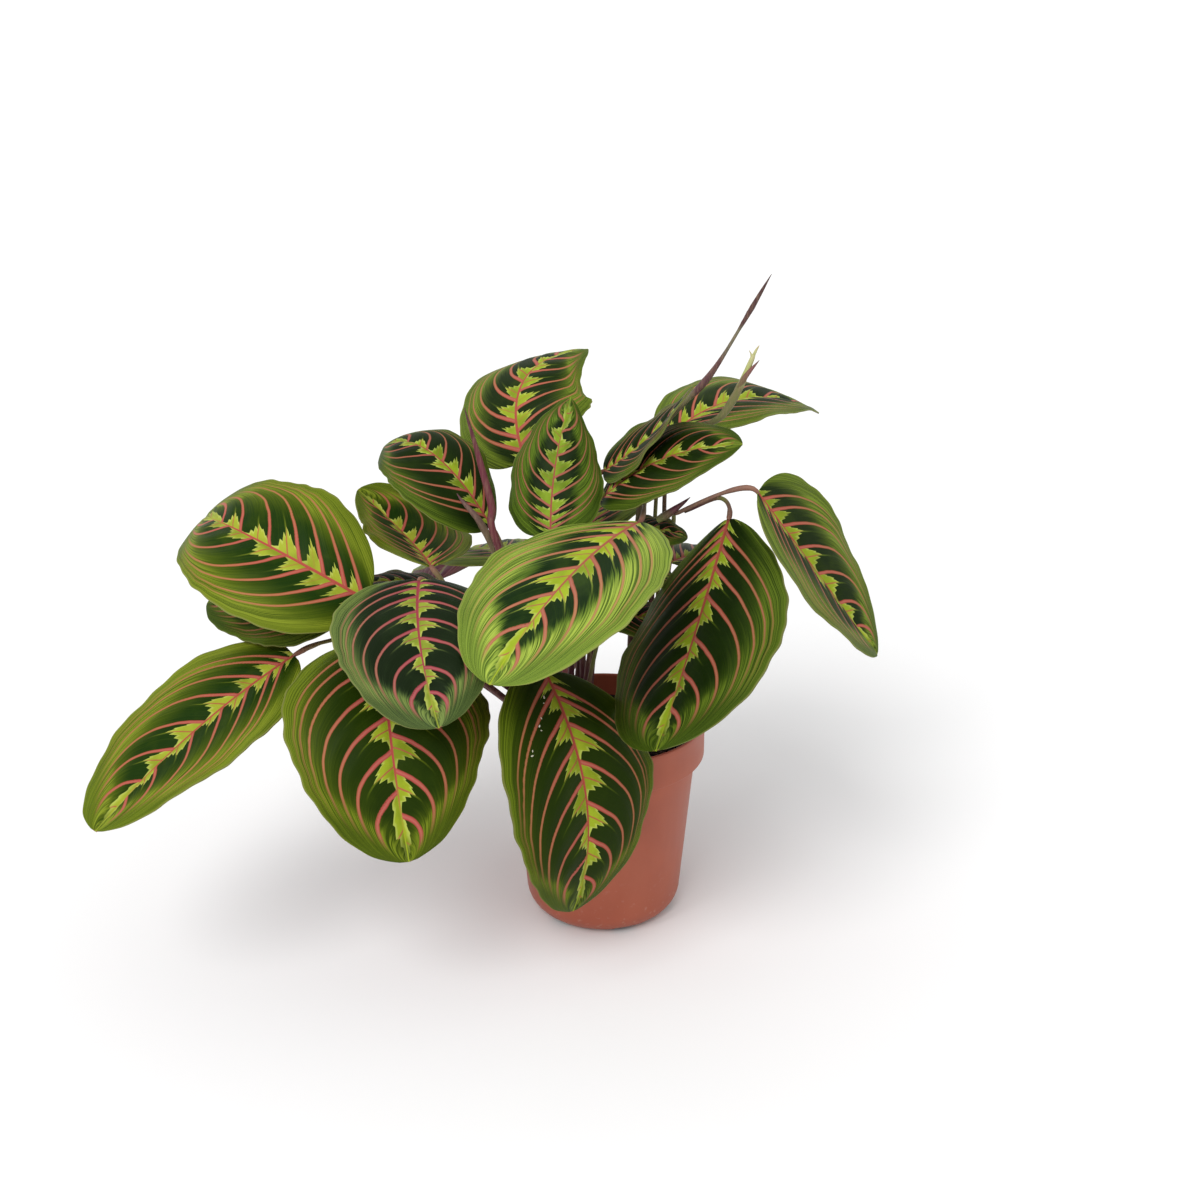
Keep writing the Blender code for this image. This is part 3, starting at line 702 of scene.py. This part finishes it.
# jagged lobes of the pale band, one between each two veins; the longest stand out a
# little over a quarter of the blade's half width
BAND_REACH = 0.27
within = calc("FRACT", count)
lobe = ramp_of(markings, within, [
    (0.0, 0.10), (0.06, 0.40), (0.10, 0.52), (0.125, 0.46), (0.21, 0.86), (0.245, 0.76), (0.34, 1.06),
    (0.375, 0.66), (0.45, 0.80), (0.50, 0.42), (0.60, 0.46), (0.66, 0.20), (0.82, 0.13), (1.0, 0.08)])
band_profile = ramp_of(markings, along, [
    (0.0, 0.35), (0.10, 0.85), (0.30, 1.0), (0.50, 0.88), (0.70, 0.62), (0.85, 0.34), (1.0, 0.12)])
band_width = calc("MULTIPLY", calc("MULTIPLY", given["Half Width"], given["Lobes"]),
                  calc("MULTIPLY", BAND_REACH, band_profile))
band_width = calc("MULTIPLY", band_width, calc("ADD", 0.75, calc("MULTIPLY", luck_here, 0.5)))
ragged = calc("MULTIPLY", calc("SUBTRACT", grain(skin, 4.0, 1), 0.5), 1.2)
to_edge = calc("SUBTRACT", calc("ADD", calc("MULTIPLY", band_width, lobe), ragged), out)
in_band = calc("MULTIPLY", ease(to_edge, -0.15, 0.25), ease(along, 0.88, 0.97, 1.0, 0.25))
band_skin = tint(ease(to_edge, 2.2, 0.2, 0.0, 0.45), given["Band"], (0.55, 0.60, 0.16))
band_skin = tint(calc("MULTIPLY", ease(cloudy, 0.4, 0.7), 0.45), band_skin, given["Green"])
colour = tint(in_band, colour, band_skin)

# side veins, a short lesser vein in each lobe, and the midrib
real = calc("MULTIPLY", calc("GREATER_THAN", count, -0.5), calc("LESS_THAN", count, 6.5))
nearest = calc("FLOOR", calc("ADD", count, 0.5))
away = calc("MULTIPLY", calc("ABSOLUTE", calc("SUBTRACT", count, nearest)), gap)
size = calc("DIVIDE", given["Half Width"], 50.0)
vein_half = calc("MULTIPLY", size, ease(spread, 0.0, 0.95, 1.15, 0.5))
line = ease(calc("DIVIDE", away, vein_half), 0.7, 1.25, 1.0, 0.0)
fade = calc("MULTIPLY", ease(spread, 0.74, 0.97, 1.0, 0.15), ease(run, 0.42, 0.82, 1.0, 0.0))
line = calc("MULTIPLY", calc("MULTIPLY", line, real), fade)
vein_skin = tint(ease(spread, 0.1, 0.9, 0.0, 0.35), given["Vein"], given["Light"])
# painted highlight: a pale line down the middle of each side vein
vein_highlight = ease(calc("DIVIDE", away, vein_half), 0.0, 0.8, 0.12, 0.0)
vein_skin = tint(vein_highlight, vein_skin, (0.75, 0.42, 0.33))
lesser_away = calc("MULTIPLY", calc("ABSOLUTE", calc("SUBTRACT", within, 0.36)), gap)
lesser = calc("MULTIPLY", ease(lesser_away, 0.2, 0.6, 1.0, 0.0),
              ease(calc("DIVIDE", out, band_width), 0.3, 1.9, 0.8, 0.0))
lesser = calc("MULTIPLY", calc("MULTIPLY", lesser, real), ease(gap, 9.0, 14.0))
colour = tint(lesser, colour, tint(in_band, given["Light"], given["Vein"]))
colour = tint(line, colour, vein_skin)
rib_half = calc("MULTIPLY", size, ease(along, 0.0, 1.0, 1.15, 0.35))
rib = ease(calc("DIVIDE", out, rib_half), 0.7, 1.2, 1.0, 0.0)
rib_skin = tint(ease(along, 0.62, 0.95), given["Vein"], given["Band"])
colour = tint(rib, colour, rib_skin)
edge_line = ease(spread, 0.975, 0.99)
colour = tint(calc("MULTIPLY", edge_line, 0.4), colour, (0.26, 0.24, 0.09))
markings.links.new(colour, result["Colour"])
height = calc("ADD", calc("MULTIPLY", fine, 0.35), calc("MULTIPLY", line, 0.5))
height = calc("ADD", height, calc("MULTIPLY", streak, 0.35))
markings.links.new(height, result["Height"])
dullness = calc("ADD", fine, calc("MULTIPLY", line, -0.3))
markings.links.new(ease(dullness, 0.2, 0.8, 0.40, 0.56), result["Roughness"])

# the underside is wine red and plainer, with its veins standing up
underside, shader, place = new_finish("wine red leaf underside", 0.5, 0.15, sheen=0.04)
calc, ease, tint, grain = calc_for(underside.node_tree)
count, gap, _ = read_parts(underside.node_tree, "vein")
_, spread, out = read_parts(underside.node_tree, "lie")
nearest = calc("FLOOR", calc("ADD", count, 0.5))
away = calc("MULTIPLY", calc("ABSOLUTE", calc("SUBTRACT", count, nearest)), gap)
line = calc("MULTIPLY", ease(away, 0.4, 1.0, 1.0, 0.0), ease(spread, 0.6, 0.98, 1.0, 0.0))
line = calc("MULTIPLY", line, calc("GREATER_THAN", count, -0.5))
rib = ease(out, 0.7, 1.6, 1.0, 0.0)
mottle = grain(place, 90, 4)
colour = tint(ease(mottle, 0.35, 0.7), (0.10, 0.016, 0.032), (0.17, 0.034, 0.055))
colour = tint(calc("MULTIPLY", ease(spread, 0.55, 1.0), 0.45), colour, (0.13, 0.13, 0.06))
colour = tint(calc("MULTIPLY", line, 0.6), colour, (0.24, 0.10, 0.09))
colour = tint(rib, colour, (0.26, 0.22, 0.10))
underside.node_tree.links.new(colour, shader.inputs["Base Color"])
underside.node_tree.links.new(ease(mottle, 0.3, 0.7, 0.42, 0.58), shader.inputs["Roughness"])
standing = calc("ADD", line, calc("ADD", rib, calc("MULTIPLY", mottle, 0.3)))
raise_grain(underside, shader, standing, 0.0005, 0.4)

for order, (name, leaf) in enumerate(LEAVES.items()):
    tones = TONES[LEAF_TONES[name]]
    blade = build_blade(name, leaf, 40 + order)
    sheen = 0.05 if LEAF_TONES[name] == "velvet" else 0.0
    paint, shader, _ = new_finish("leaf upper face " + name.replace("_", " "), 0.48,
                                  tones["gloss"], sheen=sheen, sheen_roughness=0.3)
    shader.inputs["Sheen Tint"].default_value = (0.85, 0.93, 1.0, 1)
    group = paint.node_tree.nodes.new("ShaderNodeGroup")
    group.node_tree = markings
    for socket in ("Dark", "Green", "Light", "Band", "Vein"):
        group.inputs[socket].default_value = (*tones[socket.lower()], 1)
    for socket in ("Reach", "Lobes", "Soft"):
        group.inputs[socket].default_value = tones[socket.lower()]
    group.inputs["Half Width"].default_value = leaf["width"] / 2
    group.inputs["Seed"].default_value = order
    paint.node_tree.links.new(group.outputs["Colour"], shader.inputs["Base Color"])
    paint.node_tree.links.new(group.outputs["Roughness"], shader.inputs["Roughness"])
    raise_grain(paint, shader, group.outputs["Height"], 0.0004, 0.5)
    blade.data.materials.append(paint)
    blade.data.materials.append(underside)
    give_wall(blade, BLADE_THICK)
    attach(blade, "root")
    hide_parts("blade_" + name)

# Flakes of dry sap and dust lying on the front leaf, thin and pale, as a nursery plant
# brings them; each lies on the blade's face beside the first veins. A place is a share
# along the blade, a share out to its right edge and the flake's half length.
FLAKE_LIFT = 1.2
FLAKE_PLACES = ((0.10, 0.30, 1.1), (0.12, 0.33, 0.6), (0.17, 0.42, 0.7), (0.195, 0.47, 0.9),
                (0.21, 0.455, 0.6), (0.27, 0.62, 0.6), (0.285, 0.635, 0.9))
flake_finish, shader, place = new_finish("pale flakes", 0.7, 0.3)
calc, ease, tint, grain = calc_for(flake_finish.node_tree)
colour = tint(ease(grain(place, 900, 2), 0.4, 0.6), (0.50, 0.47, 0.36), (0.66, 0.64, 0.52))
flake_finish.node_tree.links.new(colour, shader.inputs["Base Color"])
front = LEAVES["front"]
for number, (share, across, size) in enumerate(FLAKE_PLACES):
    spots = blade_spots(front, np.array([share, share + 0.01]), np.array([across, across + 0.02]))
    ahead, beside = unit(spots[1, 0] - spots[0, 0]), unit(spots[0, 1] - spots[0, 0])
    up = unit(np.cross(beside, ahead))
    bpy.ops.mesh.primitive_ico_sphere_add(subdivisions=2, radius=size * MM)
    flake = bpy.context.object
    flake.name = f"leaf_flake_{number + 1}"
    turn = 1.3 * number
    long_way = cos(turn) * ahead + sin(turn) * beside
    short_way = np.cross(up, long_way)
    middle = (spots[0, 0] + up * FLAKE_LIFT) * MM
    for vert in flake.data.vertices:
        x, y, z = vert.co
        rough = 1 + 0.35 * noise.noise(vert.co / MM * 1.7 + Vector((number, 0, 0)))
        vert.co = long_way * x * rough + short_way * y * 0.5 * rough + up * z * 0.3 + middle
    flake.data.materials.append(flake_finish)
    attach(flake, "root")

# Stalks: each leaf's stalk is wrapped in a brown sheath from the soil up, comes out of
# it round and thin, and swells into a smooth joint just below the blade. The sheath
# starts below the soil's top and the joint's end is let into the neck of the blade.
ROOT_HEIGHT = SOIL_TOP + 0.8
ROOT_DEPTH = 3
JOINT_GAP = 0.6
JOINT_REACH = 1.6
SIDE_SHOOT_PULL = (20, 2, 6)


def smooth_route(points, start_pull, end_pull, steps):
    """Points on a smooth curve through the given ones, with a pull at each end."""
    points = [np.array(p, float) for p in points]
    pulls = [np.array(start_pull, float)]
    pulls += [(after - before) / 2 for before, after in zip(points, points[2:])]
    pulls.append(np.array(end_pull, float))
    route = []
    for k in range(len(points) - 1):
        for u in np.linspace(0, 1, steps, endpoint=False):
            keep = 2 * u**3 - 3 * u**2 + 1
            route.append(keep * points[k] + (u**3 - 2 * u**2 + u) * pulls[k]
                         + (1 - keep) * points[k + 1] + (u**3 - u**2) * pulls[k + 1])
    return np.array(route + [points[-1]])


def tube(name, route, thickness, rows=110, sides=18, wrap=0.0, winds=2.0):
    """A closed tube on a route; thickness gives (share, radius) pairs along it. With a
    wrap it is a rolled sheet whose free edge stands proud and winds round it."""
    steps = np.concatenate([[0], np.cumsum(np.linalg.norm(np.diff(route, axis=0), axis=1))])
    shares = np.linspace(0, 1, rows)
    line = [np.interp(shares * steps[-1], steps, route[:, axis]) for axis in range(3)]
    line = np.stack(line, axis=1)
    forward = unit(np.gradient(line, axis=0))
    side = np.cross(forward[0], (0, 1, 0.1))
    sides_here = []
    for ahead in forward:
        side = unit(side - (side @ ahead) * ahead)
        sides_here.append(side)
    side = np.array(sides_here)
    third = np.cross(forward, side)
    radius = np.interp(shares, *np.array(thickness, float).T)
    turns = np.linspace(0, 2 * pi, sides + 1)
    lap = (turns[None] / (2 * pi) + shares[:, None] * winds) % 1.0
    radii = radius[:, None] * (1 + wrap * lap)
    spots = (line[:, None] + radii[..., None] * (np.cos(turns)[None, :, None] * side[:, None]
                                                 + np.sin(turns)[None, :, None] * third[:, None]))
    spots[:, -1] = spots[:, 0]
    start, end = (line[[k], None].repeat(sides + 1, 1) for k in (0, -1))
    spots = np.concatenate([start, spots, end])
    piece, row, _ = laid_grid(name, spots)
    run = piece.data.attributes.new("run", "FLOAT", "POINT")
    run.data.foreach_set("value", np.clip((row - 1) / (rows - 1), 0, 1))
    close_up(piece)
    bpy.ops.object.shade_smooth_by_angle(angle=radians(50))
    return piece


def stem_finish(name, colours, roughness=0.45):
    """Colours up a stem as (share, colour) pairs, with fine lengthwise fibres."""
    finish, shader, place = new_finish(name, roughness, 0.2)
    tree = finish.node_tree
    calc, ease, tint, grain = calc_for(tree)
    source = tree.nodes.new("ShaderNodeAttribute")
    source.attribute_name = "run"
    mottle = grain(place, 130, 4)
    fibre = grain(place, 900, 2, (1, 1, 0.08))
    moved = calc("ADD", source.outputs["Fac"], calc("MULTIPLY", calc("SUBTRACT", mottle, 0.5), 0.06))
    colour = tint(ease(fibre, 0.4, 0.75, 0.0, 0.35), ramp_of(tree, moved, colours), (0.30, 0.20, 0.12))
    colour = tint(ease(mottle, 0.55, 0.8, 0.0, 0.4), colour, (0.06, 0.035, 0.03))
    tree.links.new(colour, shader.inputs["Base Color"])
    tree.links.new(ease(fibre, 0.3, 0.7, roughness - 0.07, roughness + 0.1), shader.inputs["Roughness"])
    raise_grain(finish, shader, fibre, 0.0004, 0.35)
    return finish


PURPLE, BROWN, OLIVE = (0.10, 0.03, 0.04), (0.13, 0.07, 0.04), (0.13, 0.15, 0.035)
stalk_finish = stem_finish("leaf stalk", [
    (0.0, (0.07, 0.05, 0.03)), (0.12, PURPLE), (0.40, (0.12, 0.045, 0.045)), (0.47, BROWN),
    (0.60, OLIVE), (0.90, (0.16, 0.15, 0.045)), (0.95, (0.20, 0.13, 0.07)), (1.0, (0.26, 0.10, 0.07))])
right_finish = stem_finish("branching stalk", [
    (0.0, (0.07, 0.05, 0.03)), (0.15, PURPLE), (0.5, BROWN), (0.62, (0.17, 0.20, 0.05)),
    (0.74, (0.20, 0.12, 0.085)), (0.92, (0.19, 0.10, 0.075)), (1.0, (0.24, 0.11, 0.075))])
for name, leaf in LEAVES.items():
    neck, forward, _, _ = (part[0] for part in midrib(leaf, 0.0))
    foot = leaf["foot"] if len(leaf["foot"]) == 3 else (*leaf["foot"], ROOT_HEIGHT)
    points = [foot, *leaf["via"], neck - JOINT_GAP * forward]
    start_pull = (0, 0, leaf["up"]) if leaf["up"] else SIDE_SHOOT_PULL
    route = smooth_route(points, start_pull, forward * leaf["back"], 24)
    route = np.concatenate([route, [route[-1] + forward * JOINT_REACH]])
    if len(leaf["foot"]) == 3:
        thickness = [(0, 1.5), (0.6, 1.25), (0.8, 1.2), (0.86, 1.6), (0.95, 1.6), (1, 1.0)]
    else:
        thickness = [(0, 2.3), (0.08, 2.0), (0.42, 1.75), (0.44, 1.8), (0.455, 1.35), (0.90, 1.15),
                     (0.925, 1.5), (0.965, 1.65), (0.99, 1.3), (1, 0.9)]
        route = np.concatenate([[np.array(foot) - (0, 0, ROOT_DEPTH)], route])
    stalk = tube("stalk_of_" + name, route, thickness)
    stalk.data.materials.append(right_finish if name in ("right", "far_right") else stalk_finish)
    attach(stalk, "root")
    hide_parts("stalk_" + name)

# Leaves still rolled up: each new blade comes out as a tight pointed scroll, wine red
# outside, from the sheath of an older stalk.
SPEARS = {
    "rolled_leaf_tall": dict(
        route=[(16, 50, ROOT_HEIGHT), (24, 53, 262), (37, 51, 290), (62, 41, 322), (93, 36, 379)],
        up=120,
        thickness=[(0, 2.0), (0.3, 1.7), (0.68, 1.35), (0.70, 1.2), (0.715, 1.75), (0.75, 1.95),
                   (0.79, 1.3), (0.83, 0.85), (0.875, 0.75), (0.89, 1.0), (0.925, 1.4),
                   (0.965, 0.85), (1, 0.12)],
        colours=[(0, (0.08, 0.05, 0.03)), (0.2, (0.10, 0.04, 0.04)), (0.4, (0.12, 0.10, 0.05)),
                 (0.68, (0.13, 0.12, 0.06)), (0.705, (0.14, 0.15, 0.07)), (0.725, (0.10, 0.045, 0.05)),
                 (0.80, (0.11, 0.05, 0.05)), (0.84, (0.13, 0.12, 0.08)), (0.875, (0.15, 0.14, 0.09)),
                 (0.895, (0.08, 0.035, 0.035)), (1, (0.06, 0.03, 0.03))]),
    "rolled_leaf_short": dict(
        route=[(-30, -4, ROOT_HEIGHT), (-60, -17, 233), (-81, -14, 268)], up=90,
        thickness=[(0, 1.8), (0.5, 1.4), (0.75, 1.5), (0.88, 1.8), (0.96, 1.0), (1, 0.15)],
        colours=[(0, (0.08, 0.05, 0.03)), (0.3, (0.12, 0.05, 0.05)), (0.7, (0.13, 0.12, 0.05)),
                 (1, (0.12, 0.05, 0.06))]),
    "rolled_leaf_left": dict(
        route=[(-16, -14, ROOT_HEIGHT), (-58, -22, 238), (-62, -20, 266), (-75, -18, 318)], up=90,
        thickness=[(0, 2.0), (0.5, 1.6), (0.62, 1.7), (0.72, 1.95), (0.86, 1.45), (0.95, 0.8),
                   (1, 0.15)],
        colours=[(0, (0.06, 0.04, 0.02)), (0.4, (0.09, 0.035, 0.03)), (0.58, (0.13, 0.03, 0.04)),
                 (0.85, (0.14, 0.03, 0.045)), (1, (0.06, 0.015, 0.025))]),
}
for name, spear in SPEARS.items():
    last = np.subtract(spear["route"][-1], spear["route"][-2])
    route = smooth_route(spear["route"], (0, 0, spear["up"]), last, 24)
    scroll = tube("scroll_" + name, route, spear["thickness"],
                  rows=150, sides=30, wrap=0.28, winds=2.3)
    finish = stem_finish("scroll " + name.replace("_", " "), spear["colours"], 0.4)
    scroll.data.materials.append(finish)
    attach(scroll, "root")
    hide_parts(name)

# Old flower stalk: a thin green stem that ends in a spike of folded bracts, the first
# pale and torn at its tip, the second still closed and red at the edge.
path = [(42, 24, ROOT_HEIGHT), (37, 43, 262), (69, 34, 300), (85, 32, 336)]
thickness = [(0, 1.6), (0.5, 1.2), (0.72, 0.9), (0.79, 1.4), (0.86, 2.0), (0.92, 1.9), (0.95, 1.5),
             (0.985, 1.25), (1, 0.5)]
route = smooth_route(path, (0, 0, 120), (16, -2, 38), 24)
stem = tube("flower_stem", route, thickness, rows=150, sides=30, wrap=0.3, winds=1.2)
stem.data.materials.append(stem_finish("flower stem", [
    (0, (0.08, 0.05, 0.03)), (0.4, (0.11, 0.06, 0.04)), (0.74, (0.09, 0.07, 0.04)),
    (0.82, (0.13, 0.14, 0.05)), (0.91, (0.17, 0.16, 0.06)), (0.95, (0.38, 0.42, 0.14)),
    (1, (0.52, 0.50, 0.26))]))
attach(stem, "root")
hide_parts("old_flower_stalk")
bract_finish = stem_finish("flower bract", [
    (0, (0.14, 0.13, 0.05)), (0.4, (0.17, 0.10, 0.06)), (0.7, (0.19, 0.07, 0.07)),
    (1, (0.08, 0.04, 0.04))])
torn_finish = stem_finish("torn bract tip", [
    (0, (0.36, 0.40, 0.14)), (0.5, (0.50, 0.50, 0.24)), (1, (0.42, 0.33, 0.16))])
BRACTS = (
    ([(75.5, 32, 314), (80.5, 31, 323), (87.5, 31, 331.5)],
     [(0, 0.8), (0.3, 1.5), (0.6, 1.1), (0.85, 0.5), (1, 0.1)], bract_finish),
    ([(84.0, 32, 333), (85.2, 31.6, 336.5), (87.2, 31.2, 340)],
     [(0, 0.7), (0.4, 0.75), (0.8, 0.4), (1, 0.1)], torn_finish),
    ([(83.2, 32, 331), (82.8, 31.8, 334.5), (81.6, 31.6, 337)],
     [(0, 0.5), (0.5, 0.5), (1, 0.1)], torn_finish))
for number, (path, fat, finish) in enumerate(BRACTS):
    route = smooth_route(path, np.subtract(path[1], path[0]), np.subtract(path[2], path[1]), 12)
    bract = tube(f"flower_bract_{number + 1}", route, fat, rows=40, sides=20, wrap=0.3, winds=0.6)
    bract.data.materials.append(finish)
    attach(bract, "root")

# Sheath tip at the branching of the right-hand stalks: a small dry wine-red point that
# stands off the joint where the two stalks part.
path = [(31, 12, 243), (38, 9, 249), (49, 6, 259)]
route = smooth_route(path, (8, -3, 6), (10, -2, 10), 12)
sheath_tip = tube("sheath_tip", route, [(0, 1.6), (0.25, 2.3), (0.55, 1.6), (0.85, 0.7), (1, 0.1)],
                  rows=50, sides=24, wrap=0.25, winds=0.5)
sheath_tip.data.materials.append(stem_finish("sheath tip", [
    (0, (0.20, 0.23, 0.07)), (0.3, (0.17, 0.14, 0.07)), (0.5, (0.15, 0.05, 0.07)),
    (1, (0.10, 0.04, 0.05))]))
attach(sheath_tip, "root")
